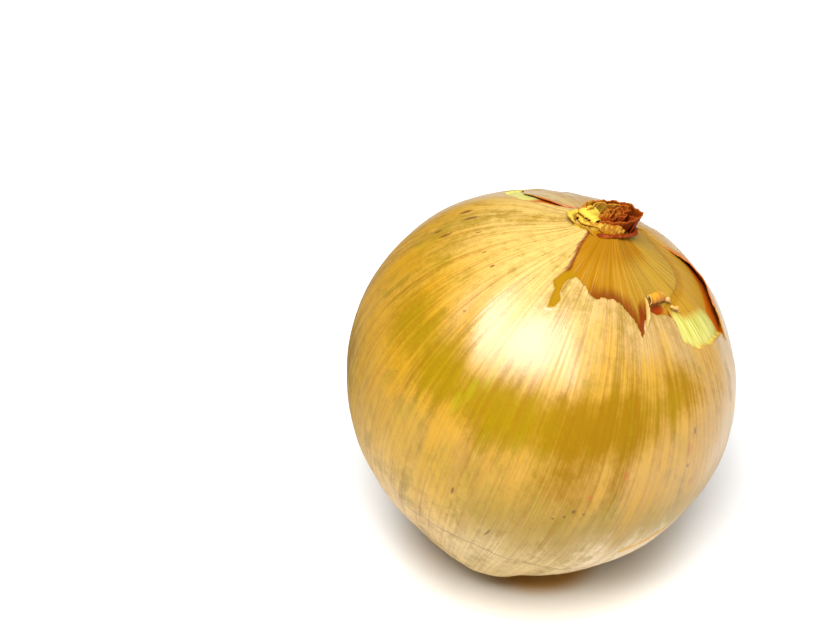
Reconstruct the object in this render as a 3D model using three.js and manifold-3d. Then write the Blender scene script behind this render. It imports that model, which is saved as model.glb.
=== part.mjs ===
// A large yellow onion, cured and dry, resting where it was set down: it leans on the side of its base.
// Millimetres, +Z up. The origin is on the surface under the middle of the bulb.
// The bulb's own axis runs from the roots to the neck. A place on its skin is an azimuth round that axis
// and a polar angle from the neck, both in degrees.

import * as THREE from 'three';
import { mergeVertices } from 'three/addons/utils/BufferGeometryUtils.js';
import Module from 'manifold-3d';

const wasm = await Module();
wasm.setup();

// Driving dimensions
const equatorRadius = 43.9;
const shoulderHeight = 40.3; // of the half ellipse above the equator
const baseDepth = 45.2; // of the half ellipse below it
const leanAngle = 18;
const leanHeading = -4; // azimuth towards which the neck leans
const restDepth = 1.1; // how far the side it rests on is pressed flat
const neckRise = 3.6; // how far the skin is drawn up to the neck
const neckSpread = 7.6;
const neckFoot = 40.6; // height on the bulb's axis at which the withered neck starts
const rootDimple = 1.9; // depth of the hollow that the roots grow from
const rootSpread = 6.6;
const plateRadius = 5.6;
const plateThickness = 1.3;
const rootCount = 46;
const rootRadius = 0.45;
const ridgeCount = 56;
const ridgeHeight = 0.24;
const rowCount = 30;
const skinThickness = 0.6;
const gap = 0.3; // left free between the bulb and the neck or the roots

// Broad swellings and hollows of the skin: azimuth, polar angle, height in mm, half width in degrees
const swellings = [
  { azimuth: -160, polar: 132, height: -1.1, reach: 24 },
  { azimuth: -112, polar: 143, height: 1.1, reach: 11 },
  { azimuth: 5, polar: 68, height: -0.7, reach: 26 },
];

const toRadians = THREE.MathUtils.degToRad;
const lerp = THREE.MathUtils.lerp;
const clamp = THREE.MathUtils.clamp;
const smoothstep = THREE.MathUtils.smoothstep;

const axisDirection = new THREE.Vector3().setFromSphericalCoords(1, toRadians(leanAngle), toRadians(leanHeading));
// Spherical coordinates have +Y up and azimuth from +Z, so the components are put in this frame's order.
axisDirection.set(axisDirection.z, axisDirection.x, axisDirection.y);
const lean = new THREE.Quaternion().setFromUnitVectors(new THREE.Vector3(0, 0, 1), axisDirection);
const sine = Math.sin(toRadians(leanAngle));
const cosine = Math.cos(toRadians(leanAngle));
const middleHeight = Math.hypot(baseDepth * cosine, equatorRadius * sine) - restDepth;

// Random numbers that are the same each time
function seeded(seed) {
  let state = seed;
  return () => {
    state = (state * 1664525 + 1013904223) % 4294967296;
    return state / 4294967296;
  };
}

// Closed meshes to solids and back

function solidOf(geometry) {
  const bare = geometry.clone();
  for (const name of ['normal', 'uv']) bare.deleteAttribute(name);
  bare.clearGroups();
  const merged = mergeVertices(bare, 1e-4);
  return new wasm.Manifold(new wasm.Mesh({
    numProp: 3,
    vertProperties: merged.getAttribute('position').array,
    triVerts: new Uint32Array(merged.index.array),
  }));
}

function geometryOf(solid) {
  const mesh = solid.getMesh();
  const geometry = new THREE.BufferGeometry();
  geometry.setAttribute('position', new THREE.BufferAttribute(new Float32Array(mesh.vertProperties), 3));
  geometry.setIndex(new THREE.BufferAttribute(new Uint32Array(mesh.triVerts), 1));
  geometry.computeVertexNormals();
  return geometry;
}

function largestBody(solid) {
  return solid.decompose().sort((a, b) => b.volume() - a.volume())[0];
}

function fused(solids) {
  return solids.reduce((sum, next) => sum.add(next));
}

// Moves every vertex of a geometry by a function of its position
function reshaped(geometry, place) {
  const position = geometry.getAttribute('position');
  const point = new THREE.Vector3();
  for (let i = 0; i < position.count; i++) {
    point.fromBufferAttribute(position, i);
    const moved = place(point);
    position.setXYZ(i, moved.x, moved.y, moved.z);
  }
  return geometry;
}

// The bulb's skin

function directionAt(azimuth, polar) {
  const [turn, angle] = [toRadians(azimuth), toRadians(polar)];
  return new THREE.Vector3(
    Math.sin(angle) * Math.cos(turn),
    Math.sin(angle) * Math.sin(turn),
    Math.cos(angle),
  );
}

// How much farther out the skin lies than the plain ellipse, as a share of its radius
function unevenness(azimuth, polar) {
  const turn = toRadians(azimuth);
  const belt = Math.sin(toRadians(polar));
  const here = directionAt(azimuth, polar);
  const lobes = 0.004 * Math.cos(2 * turn - 0.6) + 0.004 * Math.cos(3 * turn + 1.1) + 0.003 * Math.cos(5 * turn);
  return swellings.reduce((sum, { azimuth: side, polar: level, height, reach }) => {
    const away = THREE.MathUtils.radToDeg(here.angleTo(directionAt(side, level)));
    return sum + (height / equatorRadius) * Math.exp(-((away / reach) ** 2));
  }, belt * lobes);
}

function outlineAt(azimuth, polar) {
  const angle = toRadians(polar);
  const turn = toRadians(azimuth);
  const swell = 1 + unevenness(azimuth, polar);
  const ring = equatorRadius * Math.sin(angle);
  const upper = polar < 90;
  const halfHeight = upper ? shoulderHeight : baseDepth;
  const drawnUp = upper ? neckRise * Math.exp(-((ring / neckSpread) ** 2)) : 0;
  const pushedIn = upper ? 0 : rootDimple * Math.exp(-((ring / rootSpread) ** 4));
  return new THREE.Vector3(
    ring * swell * Math.cos(turn),
    ring * swell * Math.sin(turn),
    halfHeight * swell * Math.cos(angle) + drawnUp + pushedIn,
  );
}

// A point that stands off the skin by some distance along the ellipse's normal
function skinAt(azimuth, polar, offset) {
  const angle = toRadians(polar);
  const turn = toRadians(azimuth);
  const halfHeight = polar < 90 ? shoulderHeight : baseDepth;
  const across = Math.sin(angle) / equatorRadius;
  const along = Math.cos(angle) / halfHeight;
  const normal = new THREE.Vector3(across * Math.cos(turn), across * Math.sin(turn), along).normalize();
  return outlineAt(azimuth, polar).addScaledVector(normal, offset);
}

// Veins stand up as ridges, unevenly spaced, and fade out towards both ends
function ridgeAt(azimuth, polar) {
  const fade = smoothstep(polar, 3, 16) * smoothstep(180 - polar, 6, 24);
  return fade * ridgeHeight * 0.5 * Math.cos(toRadians(azimuth * ridgeCount));
}

function unevenAzimuth(azimuth) {
  const turn = toRadians(azimuth);
  return azimuth + 1.1 * Math.sin(5 * turn) + 0.7 * Math.sin(11 * turn + 1);
}

function bulbSolid(grow) {
  const ball = new THREE.SphereGeometry(1, 2 * ridgeCount, rowCount).rotateX(Math.PI / 2);
  return solidOf(reshaped(ball, (point) => {
    const azimuth = THREE.MathUtils.radToDeg(Math.atan2(point.y, point.x));
    const share = Math.acos(clamp(point.z, -1, 1)) / Math.PI;
    const atPole = Math.hypot(point.x, point.y) < 1e-6;
    // Rows lie closer together near the neck and the roots
    const polar = 180 * (share - 0.45 * Math.sin(2 * Math.PI * share) / (2 * Math.PI));
    const relief = atPole ? 0 : ridgeAt(azimuth, polar);
    return skinAt(atPole ? 0 : unevenAzimuth(azimuth), polar, relief + grow);
  }));
}

// A slab that follows the skin between two azimuths and two edges, with its own depths
function wrappedSlab({ azimuths, top, bottom, inner, outer, columns, rows }) {
  const slab = new THREE.BoxGeometry(1, 1, 1, columns, rows, 1);
  return solidOf(reshaped(slab, (point) => {
    const across = point.x + 0.5;
    const down = 0.5 - point.y;
    const azimuth = lerp(azimuths[0], azimuths[1], across);
    const polar = lerp(top(azimuth), bottom(azimuth), down);
    return skinAt(azimuth, polar, point.z > 0 ? outer(across, down) : inner(across, down));
  }));
}

// An edge given as [azimuth, polar] corners, straight in between
function tornEdge(corners) {
  return (azimuth) => {
    const next = corners.findIndex(([place]) => place >= azimuth);
    if (next === -1) return corners[corners.length - 1][1];
    if (next === 0) return corners[0][1];
    const [a, b] = [corners[next - 1], corners[next]];
    return lerp(a[1], b[1], (azimuth - a[0]) / (b[0] - a[0]));
  };
}

// Where the outermost skin is torn away round the front of the neck
const windowTop = tornEdge([[-122, 9], [34, 9]]);
const windowBottom = tornEdge([
  [-122, 22], [-117, 21], [-98, 24.5], [-77, 25], [-72, 27.5], [-66, 33.5], [-62, 24], [-50, 21.5],
  [-40, 28], [-39, 37], [-33, 42.5], [-26, 41], [-16, 45.5], [-5, 46.5], [4, 41], [16, 36.5], [34, 27],
]);
const windowDepth = 0.5;

// The crack that runs on down from it along one vein
const crack = { azimuth: -119, from: 20, to: 36, widest: 27, halfWidth: 3.1 };

// The loose sheet of outer skin on the back shoulder, free along both sides and the neck
const flap = {
  azimuths: [2, 138],
  top: tornEdge([[2, 46], [16, 37], [30, 30], [44, 24], [60, 18], [90, 15], [121, 15.5], [130, 24], [138, 33]]),
  bottom: tornEdge([[2, 53], [30, 57], [70, 58], [110, 54], [138, 47]]),
};

// How far its outer face stands off the skin: sunk in at its foot, lifted most along its two free sides
function flapLift(across, down) {
  const rightSide = 1.5 * Math.exp(-(((across - 0.12) / 0.18) ** 2));
  const leftSide = 0.9 * Math.exp(-(((across - 0.95) / 0.12) ** 2));
  return -0.3 + (1.35 + rightSide + leftSide) * (1 - down) ** 0.8;
}

function windowCutter() {
  return wrappedSlab({
    azimuths: [-122, 34],
    top: windowTop,
    bottom: windowBottom,
    inner: () => -windowDepth,
    outer: () => 4,
    columns: 44,
    rows: 5,
  });
}

function crackCutter() {
  const width = (polar) => crack.halfWidth * Math.max(
    0.06,
    1 - Math.abs(polar - crack.widest) / (polar < crack.widest ? 16 : crack.to - crack.widest),
  );
  const slab = new THREE.BoxGeometry(1, 1, 1, 1, 10, 1);
  return solidOf(reshaped(slab, (point) => {
    const polar = lerp(crack.from, crack.to, 0.5 - point.y);
    return skinAt(crack.azimuth + 2 * point.x * width(polar), polar, point.z > 0 ? 4 : -windowDepth);
  }));
}

function flapSolid() {
  return wrappedSlab({
    azimuths: flap.azimuths,
    top: flap.top,
    bottom: flap.bottom,
    inner: (across, down) => flapLift(across, down) - skinThickness,
    outer: flapLift,
    columns: 32,
    rows: 7,
  });
}

// A tongue of skin in front of the neck whose tip has curled up into a small arch
const curl = {
  azimuths: [-63, -31],
  top: tornEdge([[-63, 28], [-56, 22.5], [-48, 20.5], [-40, 21], [-35, 24], [-31, 30]]),
  bottom: tornEdge([[-63, 36], [-46, 34], [-31, 36]]),
};

function curlLift(across, down) {
  return -0.3 + (1.1 + 2 * Math.sin(Math.PI * across)) * (1 - down) ** 0.8;
}

function curlSolid() {
  return wrappedSlab({
    azimuths: curl.azimuths,
    top: curl.top,
    bottom: curl.bottom,
    inner: (across, down) => curlLift(across, down) - skinThickness,
    outer: curlLift,
    columns: 10,
    rows: 5,
  });
}

// The withered neck: leaf bases squeezed into each other, dried and broken off short

function leafBase({ radius, squash, height, jag, crumple, turn, wall, tilt, seed, sides }) {
  const random = seeded(seed);
  const phases = [random(), random(), random(), random()].map((share) => share * 2 * Math.PI);
  const waist = radius * 0.9;
  const floor = 0.6 * height;
  const profile = [
    [0, 0], [1.04 * radius, 0], [waist, 0.45 * height], [0.94 * radius, 0.8 * height], [radius, height],
    [radius - wall, height], [waist - wall, 0.7 * height], [0, floor],
  ];
  const cup = new THREE.LatheGeometry(profile.map(([x, y]) => new THREE.Vector2(x, y)), sides);
  const upwards = new THREE.Vector3(0, 0, 1);
  return solidOf(reshaped(cup.rotateX(Math.PI / 2), (point) => {
    const angle = Math.atan2(point.y, point.x);
    const share = point.z / height;
    const folds = Math.sin(3 * angle + phases[0]) + 0.6 * Math.sin(7 * angle + phases[1]);
    const rim = Math.sin(2 * angle + phases[2]) + 0.7 * Math.sin(5 * angle + phases[3]);
    const fold = 1 + crumple * folds * (0.4 + 0.6 * share);
    return new THREE.Vector3(point.x * fold, point.y * fold * squash, point.z * (1 + jag * rim * share))
      .applyAxisAngle(upwards, toRadians(turn))
      .add(new THREE.Vector3(tilt[0] * share, tilt[1] * share, 0));
  }));
}

// A broken leaf tip: a thin tapering blade that stands on the neck's rim and bows outwards
function leafTip({ at, facing, width, length, bend }) {
  const blade = new THREE.BoxGeometry(1, 1, 1, 4, 4, 1);
  reshaped(blade, (point) => {
    const up = point.y + 0.5;
    const halfWidth = 0.5 * width * (1 - 0.75 * up ** 1.6);
    const bow = 0.9 * (2 * point.x) ** 2;
    return new THREE.Vector3(2 * point.x * halfWidth, bow - bend * up ** 2 - 0.8 * point.z, up * length);
  });
  return solidOf(blade.rotateZ(toRadians(facing + 90)).translate(...at));
}

function neckSolid() {
  const leafBases = [
    { radius: 6.7, squash: 0.72, height: 5.6, jag: 0.07, crumple: 0.06, turn: -6, wall: 1, tilt: [0.2, 0.1],
      seed: 3, sides: 28 },
    { radius: 4.8, squash: 0.66, height: 6.3, jag: 0.06, crumple: 0.07, turn: 12, wall: 0.9, tilt: [0.7, 0.1],
      seed: 11, sides: 22 },
    { radius: 2.9, squash: 0.6, height: 6.7, jag: 0.06, crumple: 0.08, turn: -20, wall: 0.9, tilt: [1.1, 0.3],
      seed: 23, sides: 16 },
  ];
  const leafTips = [
    { at: [5.6, 1.8, 4.4], facing: 20, width: 4.8, length: 2.9, bend: 1.7 },
    { at: [-5.4, 1.2, 4.2], facing: 165, width: 4.6, length: 1.9, bend: 2.4 },
    { at: [0.8, 3.7, 4.8], facing: 84, width: 5.2, length: 2.7, bend: 0.6 },
    { at: [2.2, -4.1, 4.6], facing: 280, width: 5.6, length: 1.4, bend: 1.2 },
  ];
  const neck = fused([...leafBases.map(leafBase), ...leafTips.map(leafTip)]);
  return neck.translate([0, 0, neckFoot]);
}

// The root plate and its dried roots, which curl outwards and lie over where they meet the floor

const floorUp = new THREE.Vector3(0, 0, 1).applyQuaternion(lean.clone().invert());

function liftedOffFloor(point, clearance) {
  const height = point.dot(floorUp) + middleHeight;
  return height < clearance ? point.clone().addScaledVector(floorUp, clearance - height) : point;
}

function taperedRoot(points) {
  const steps = 4;
  const curve = new THREE.CatmullRomCurve3(points);
  const frames = curve.computeFrenetFrames(steps);
  const stick = new THREE.CylinderGeometry(0.5, 1, 1, 3, steps);
  return solidOf(reshaped(stick, (point) => {
    const along = point.y + 0.5;
    const step = Math.round(along * steps);
    return curve.getPoint(along)
      .addScaledVector(frames.normals[step], point.z * rootRadius)
      .addScaledVector(frames.binormals[step], point.x * rootRadius);
  }));
}

function rootSolids() {
  const random = seeded(41);
  const plateHeight = -(baseDepth - rootDimple);
  const plate = new THREE.SphereGeometry(1, 16, 6).rotateX(Math.PI / 2);
  const solids = [solidOf(plate.scale(plateRadius, plateRadius, plateThickness).translate(0, 0, plateHeight))];
  for (let i = 0; i < rootCount; i++) {
    // Spread evenly over the plate by the golden angle
    const start = plateRadius * 0.92 * Math.sqrt((i + 0.5) / rootCount);
    const azimuth = i * 2.39996 + 0.3 * random();
    const splay = 0.35 + 0.8 * (start / plateRadius) + 0.3 * random();
    const length = 5 + 4 * random();
    const swerve = 1.2 * (random() - 0.5);
    const points = [0, 0.35, 0.7, 1].map((share) => {
      const angle = azimuth + swerve * share * share;
      const out = start + length * share * Math.sin(Math.min(1.45, splay * (0.5 + share)));
      const down = length * share * Math.cos(Math.min(1.45, splay * (0.5 + share)));
      const point = new THREE.Vector3(out * Math.cos(angle), out * Math.sin(angle), plateHeight - down);
      return liftedOffFloor(point, 0.5 + 0.9 * random());
    });
    solids.push(taperedRoot(points));
  }
  return solids;
}

// The pieces, each clear of the bulb by the gap

function material(color, roughness) {
  return new THREE.MeshStandardMaterial({ color, roughness, metalness: 0 });
}

function floorCutter() {
  const floor = new THREE.BoxGeometry(200, 200, 40).translate(0, 0, -20 - middleHeight);
  return solidOf(floor.applyQuaternion(lean.clone().invert()));
}

const bulbClearance = bulbSolid(gap);
const bulb = bulbSolid(0)
  .subtract(windowCutter())
  .subtract(crackCutter())
  .subtract(floorCutter())
  .add(flapSolid())
  .add(curlSolid());
const neck = neckSolid().subtract(bulbClearance);
const roots = fused(rootSolids()).subtract(bulbClearance).subtract(floorCutter());

const pieces = [
  ['bulb', bulb, material(0xd9a441, 0.45)],
  ['neck', neck, material(0x8a4a1e, 0.7)],
  ['roots', roots, material(0x4a2f1b, 0.9)],
];

const onion = new THREE.Group();
onion.name = 'onion';
onion.quaternion.copy(lean);
onion.position.z = middleHeight;
for (const [name, solid, finish] of pieces) {
  const mesh = new THREE.Mesh(geometryOf(largestBody(solid)), finish);
  mesh.name = name;
  onion.add(mesh);
}

export default onion;
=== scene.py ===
# A large yellow onion, cured and dry, leaning on the side of its base on a pale table.
# Places on the bulb are given as an azimuth round its own axis and a polar angle from the neck, in degrees.

import math

import bpy
import numpy as np
from mathutils import Matrix, Vector


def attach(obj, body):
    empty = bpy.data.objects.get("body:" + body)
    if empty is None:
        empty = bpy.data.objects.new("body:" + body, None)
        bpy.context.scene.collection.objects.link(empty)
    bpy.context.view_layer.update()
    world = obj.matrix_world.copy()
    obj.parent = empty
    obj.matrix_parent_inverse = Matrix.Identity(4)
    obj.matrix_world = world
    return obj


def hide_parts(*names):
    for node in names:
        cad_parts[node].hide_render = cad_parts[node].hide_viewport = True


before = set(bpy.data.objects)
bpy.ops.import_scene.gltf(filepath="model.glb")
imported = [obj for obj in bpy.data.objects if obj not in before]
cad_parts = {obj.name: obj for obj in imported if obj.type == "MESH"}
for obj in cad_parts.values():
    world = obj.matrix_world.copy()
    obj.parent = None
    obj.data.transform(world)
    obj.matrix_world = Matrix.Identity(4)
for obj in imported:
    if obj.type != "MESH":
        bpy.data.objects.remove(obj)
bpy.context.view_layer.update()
mm = 0.001


# Shader maths

class Wire:
    # A socket's output: + - * on it add Math nodes
    def __init__(self, paint, socket):
        self.paint = paint
        self.socket = socket

    def maths(self, operation, *values):
        return self.paint.node("ShaderNodeMath", {"operation": operation}, dict(enumerate(values)))

    def __add__(self, other):
        return self.maths("ADD", self, other)

    def __sub__(self, other):
        return self.maths("SUBTRACT", self, other)

    def __rsub__(self, other):
        return self.maths("SUBTRACT", other, self)

    def __mul__(self, other):
        return self.maths("MULTIPLY", self, other)

    __radd__ = __add__
    __rmul__ = __mul__

    def size(self):  # without its sign
        return self.maths("ABSOLUTE", self)

    def clamped(self):
        return self.maths("MAXIMUM", self.maths("MINIMUM", self, 1.0), 0.0)

    def rise(self, low, high):  # smooth step from 0 at low to 1 at high
        return self.paint.node("ShaderNodeMapRange", {"interpolation_type": "SMOOTHSTEP"},
                               {"Value": self, "From Min": low, "From Max": high})


class Paint:
    def __init__(self, made, shader="Principled BSDF"):  # made is a new material or world
        self.material = made
        self.material.use_nodes = True
        self.tree = self.material.node_tree
        self.shader = self.tree.nodes[shader]

    def node(self, kind, settings=None, sockets=None, output=0):
        made = self.tree.nodes.new(kind)
        for name, value in (settings or {}).items():
            setattr(made, name, value)
        for name, value in (sockets or {}).items():
            self.feed(made.inputs[name], value)
        return Wire(self, made.outputs[output])

    def feed(self, socket, value):
        if isinstance(value, Wire):
            self.tree.links.new(value.socket, socket)
        elif isinstance(value, (tuple, list)) and socket.type == "RGBA":
            socket.default_value = (*value, 1)
        else:
            socket.default_value = value

    def mix(self, first, second, share):
        return self.node("ShaderNodeMix", {"data_type": "RGBA"}, {0: share, 6: first, 7: second}, 2)

    def attribute(self, name):
        return self.node("ShaderNodeAttribute", {"attribute_name": name}, output="Vector")

    def split(self, vector):
        made = self.node("ShaderNodeSeparateXYZ", None, {0: vector})
        return [Wire(self, socket) for socket in made.socket.node.outputs]

    def scaled(self, vector, factors):
        return self.node("ShaderNodeVectorMath", {"operation": "MULTIPLY"}, {0: vector, 1: factors})

    def noise(self, vector, scale=1.0, detail=2.0, roughness=0.5):
        return self.node("ShaderNodeTexNoise", None,
                         {"Vector": vector, "Scale": scale, "Detail": detail, "Roughness": roughness})

    def place(self):
        return self.node("ShaderNodeTexCoord", output="Object")

    def constant(self, name, value):
        self.shader.inputs[name].default_value = value

    def relief(self, height):  # height in metres
        return self.node("ShaderNodeBump", None, {"Strength": 1.0, "Distance": 1.0, "Height": height})

    def finish(self, **sockets):
        for name, value in sockets.items():
            self.feed(self.shader.inputs[name.replace("_", " ")], value)
        return self.material


def newPaint(name):
    return Paint(bpy.data.materials.new(name))


# The bulb's form

bulb = {
    "equatorRadius": 43.9,  # millimetres, as all lengths in these dictionaries
    "shoulderHeight": 40.3,
    "baseDepth": 45.2,
    "leanAngle": 18,
    "leanHeading": -4,
    "restDepth": 1.1,
    "neckRise": 3.6,
    "neckSpread": 7.6,
    "rootDimple": 1.9,
    "rootSpread": 6.6,
    "swellings": [(-160, 132, -1.1, 24), (-112, 143, 1.1, 11), (5, 68, -0.7, 26)],
    "veinCount": 144,
    "veinHeight": 0.022,
    "layer": 0.32,  # how far one skin lies under the next
    "lip": 0.12,  # how far a torn edge stands up
    "sags": [(-90, 143, 1.6, 10), (-124, 138, -1.0, 10)],  # the underside hangs fuller at one place
    "columns": 576,
    "rows": 168,
}


degreeLength = math.pi / 180 * bulb["equatorRadius"]  # millimetres in a degree of polar angle


def radians(values):
    return np.radians(np.asarray(values, float))


def directionAt(azimuth, polar):
    turn, angle = radians(azimuth), radians(polar)
    return np.stack([np.sin(angle) * np.cos(turn), np.sin(angle) * np.sin(turn), np.cos(angle)], -1)


def hill(here, azimuth, polar, reach):  # 1 at a place, falling off over a reach in degrees
    apart = np.degrees(np.arccos(np.clip(here @ directionAt(azimuth, polar), -1, 1)))
    return np.exp(-((apart / reach) ** 2))


def unevenness(azimuth, polar):
    turn = radians(azimuth)
    here = directionAt(azimuth, polar)
    lobes = 0.004 * np.cos(2 * turn - 0.6) + 0.004 * np.cos(3 * turn + 1.1) + 0.003 * np.cos(5 * turn)
    total = np.sin(radians(polar)) * lobes
    for side, level, height, reach in bulb["swellings"]:
        total = total + height / bulb["equatorRadius"] * hill(here, side, level, reach)
    return total


def skinPoint(azimuth, polar, offset):
    azimuth, polar, offset = np.broadcast_arrays(azimuth, polar, offset)
    turn, angle = radians(azimuth), radians(polar)
    swell = 1 + unevenness(azimuth, polar)
    upper = polar < 90
    radius = bulb["equatorRadius"]
    half = np.where(upper, bulb["shoulderHeight"], bulb["baseDepth"])
    ring = radius * np.sin(angle)
    drawnUp = np.where(upper, bulb["neckRise"] * np.exp(-((ring / bulb["neckSpread"]) ** 2)), 0)
    pushedIn = np.where(upper, 0, bulb["rootDimple"] * np.exp(-((ring / bulb["rootSpread"]) ** 4)))
    across, along = np.sin(angle) / radius, np.cos(angle) / half
    length = np.hypot(across, along)
    across, along = across / length * offset, along / length * offset
    out = ring * swell + across
    return np.stack([out * np.cos(turn), out * np.sin(turn),
                     half * swell * np.cos(angle) + drawnUp + pushedIn + along], -1)


heading = math.radians(bulb["leanHeading"])
tilt = math.radians(bulb["leanAngle"])
bulbAxis = Vector((math.sin(tilt) * math.cos(heading), math.sin(tilt) * math.sin(heading), math.cos(tilt)))
leanTurn = np.array(Vector((0, 0, 1)).rotation_difference(bulbAxis).to_matrix())
middleHeight = math.hypot(bulb["baseDepth"] * math.cos(tilt), bulb["equatorRadius"] * math.sin(tilt)) \
    - bulb["restDepth"]


def toWorld(points, floor=0.0):
    world = points @ leanTurn.T + (0, 0, middleHeight)
    world[..., 2] = np.maximum(world[..., 2], floor)
    return world * mm


# Random but repeatable waves round the bulb, about 1 high, from 'fewest' to 'most' to the turn
def ripples(azimuth, polar, fewest, most, seed, drift=0.02, count=14):
    random = np.random.default_rng(seed)
    turn = radians(azimuth)
    total = 0
    for number in random.integers(fewest, most + 1, count):
        total = total + np.sin(number * turn + random.uniform(-drift, drift) * number * radians(polar) * 3
                               + random.uniform(0, 2 * math.pi))
    return total / math.sqrt(count / 2)


def step(value, low, high):
    share = np.clip((value - low) / (high - low), 0, 1)
    return share * share * (3 - 2 * share)


# Where skins are torn away. Corners are (azimuth, polar).
torn = {
    "window": [
        (-170, 5), (-142, 8), (-131, 12.5), (-125.4, 15.6), (-122.2, 19), (-123.8, 22.4), (-124.4, 25.9),
        (-120.6, 27.6), (-119.3, 30.3), (-117.6, 33.6), (-115.2, 32.3), (-114.2, 29.6), (-116.7, 27.9),
        (-118.4, 24.8), (-117.2, 22.2), (-113.2, 20.5), (-104.6, 22.2), (-100.4, 23.8), (-96, 25.1),
        (-88.8, 24.0), (-83, 23.8), (-79.2, 24.6), (-75.7, 25.9), (-73.4, 27.4), (-71.3, 29), (-68.9, 31.8),
        (-67.2, 34.6), (-65.4, 32.8), (-62.6, 29.6), (-56, 27.2), (-51, 28.2), (-45, 29.2), (-41.4, 31),
        (-41.2, 33.4), (-41.9, 36.2), (-42.3, 38.5), (-39.2, 39.6), (-37.4, 41.5), (-33, 42.7),
        (-29.8, 42.6), (-24.7, 44.5), (-20.8, 44.3), (-15.5, 45.6), (-10.9, 46.4), (-6, 49), (6, 49),
        (30, 47), (60, 46), (95, 45), (119, 44.5), (128, 42), (135, 38.5), (140.5, 34), (145, 28.5),
        (143.5, 25.5), (140, 22), (136.5, 18), (129, 15), (119, 13.5), (150, 7),
    ],
    "fan": [  # the second skin, which spreads from the neck inside the window
        (-170, 0.5), (-178, 4), (-150, 8), (-136, 14), (-128, 22), (-122, 30), (-112, 40), (-70, 40),
        (-50, 31), (-42, 27.2), (-37, 25.9), (-30.8, 25.6), (-21.4, 24.9), (-13, 24.7), (-5.3, 23.8),
        (-0.4, 22.3), (5.3, 20.1), (17.5, 17.4), (35, 16.5), (80, 15), (130, 13), (165, 9),
    ],
    "patch": [  # the fresh skin under both, palest at its lower edge
        (-41, 28), (-41.4, 31), (-41.9, 36.2), (-42.3, 38.5), (-37.4, 41.5), (-33, 42.7), (-24.7, 44.5),
        (-15.5, 45.6), (-9, 46.5), (-7, 42), (-9, 38), (-15, 35), (-24, 34), (-32, 32), (-37, 28.5),
    ],
    "underside": [  # below a fine line at the bottom, the outer skin ends
        (-150, 121), (-128, 118.5), (-116, 118), (-95, 119.5), (-71, 122.5), (-50, 121), (-34, 118),
        (-27, 122), (-22, 130), (-30, 150), (-90, 158), (-150, 150), (-160, 130),
    ],
}


def flatPlace(azimuth, polar):
    turn, angle = radians(azimuth), radians(polar)
    out = 2 * bulb["equatorRadius"] * np.tan(angle / 2)
    return np.stack([out * np.cos(turn), out * np.sin(turn)], -1)


# Millimetres from a region's edge, positive inside it
def depthInside(region, azimuth, polar):
    levels = [level for _, level in torn[region]]
    close = (polar > min(levels) - 4) & (polar < max(levels) + 4)
    depth = np.full(polar.shape, -9.0)
    if min(levels) < 9:
        depth[polar <= min(levels) - 4] = 9.0
    depth[close] = depthCloseBy(region, azimuth[close], polar[close])
    return depth


def depthCloseBy(region, azimuth, polar):
    points = flatPlace(azimuth, polar)
    corners = flatPlace(*np.array(torn[region], float).T)
    nearest = np.full(points.shape[:-1], 1e9)
    inside = np.zeros(points.shape[:-1], bool)
    for start, end in zip(corners, np.roll(corners, -1, 0)):
        edge = end - start
        share = np.clip(((points - start) @ edge) / (edge @ edge), 0, 1)
        nearest = np.minimum(nearest, np.linalg.norm(points - start - share[..., None] * edge, axis=-1))
        crosses = (start[1] > points[..., 1]) != (end[1] > points[..., 1])
        slope = edge[0] * (points[..., 1] - start[1]) / (edge[1] if edge[1] else 1e-9) + start[0]
        inside ^= crosses & (points[..., 0] < slope)
    stretch = np.cos(radians(polar) / 2) ** 2
    return np.where(inside, nearest, -nearest) * stretch


def ragged(azimuth, polar, size, seed):
    coarse, fine = ripples(azimuth, polar, 30, 90, seed), ripples(azimuth, polar, 100, 260, seed + 1)
    return size * (0.6 * coarse + 0.4 * fine)


def veins(azimuth, polar):
    turn = radians(azimuth) * bulb["veinCount"]
    strength = 0.75 + 0.5 * ripples(azimuth, polar, 20, 70, 5)
    fade = step(polar, 8, 40) * step(178 - polar, 0, 22) * np.sin(radians(polar))
    return bulb["veinHeight"] * strength * fade * np.cos(turn)


def pleats(azimuth, polar):  # drawn together towards the neck and towards the roots
    top = np.exp(-((polar - 11) / 13.0) ** 2) * step(polar, 2, 8)
    base = np.exp(-((172 - polar) / 9.0) ** 2)
    return 0.035 * ripples(azimuth, polar, 34, 78, 8) * top \
        + 0.16 * ripples(azimuth, polar, 26, 60, 9) * base


def lumps(azimuth, polar):
    total = 0.12 * ripples(azimuth, polar, 4, 11, 51, 0.3) + 0.05 * ripples(azimuth, polar, 12, 26, 52, 0.2)
    return total * np.sin(radians(polar)) ** 0.5


raggedEdges = {"window": (0.16, 21), "fan": (0.1, 31), "underside": (0.1, 41)}  # size and seed


# How deep a place lies inside each torn region
def regionDepths(azimuth, polar):
    depths = {region: depthInside(region, azimuth, polar) for region in torn}
    for region, (size, seed) in raggedEdges.items():
        depths[region] = depths[region] + ragged(azimuth, polar, size, seed)
    return depths


def relief(azimuth, polar, depths):
    window, fan, under = depths["window"], depths["fan"], depths["underside"]
    layer = bulb["layer"]
    height = veins(azimuth, polar) + pleats(azimuth, polar)
    height = height - layer * step(window, -0.12, 0.2)
    height = height - layer * step(window, 0.1, 0.5) * step(-fan, -0.1, 0.3)
    # The torn edge stands up a little, but not where the loose sheet lies over it
    covered = step(azimuth, 0, 12) * step(140 - azimuth, 0, 10)
    height = height + bulb["lip"] * np.exp(-((window + 0.25) / 0.35) ** 2) * (1 - covered)
    height = height - 0.12 * step(under, -0.1, 0.2) - curls["hollowDepth"] * hollow(azimuth, polar)
    here = directionAt(azimuth, polar)
    for side, level, fullness, reach in bulb["sags"]:
        height = height + fullness * hill(here, side, level, reach)
    return height + lumps(azimuth, polar)


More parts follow.
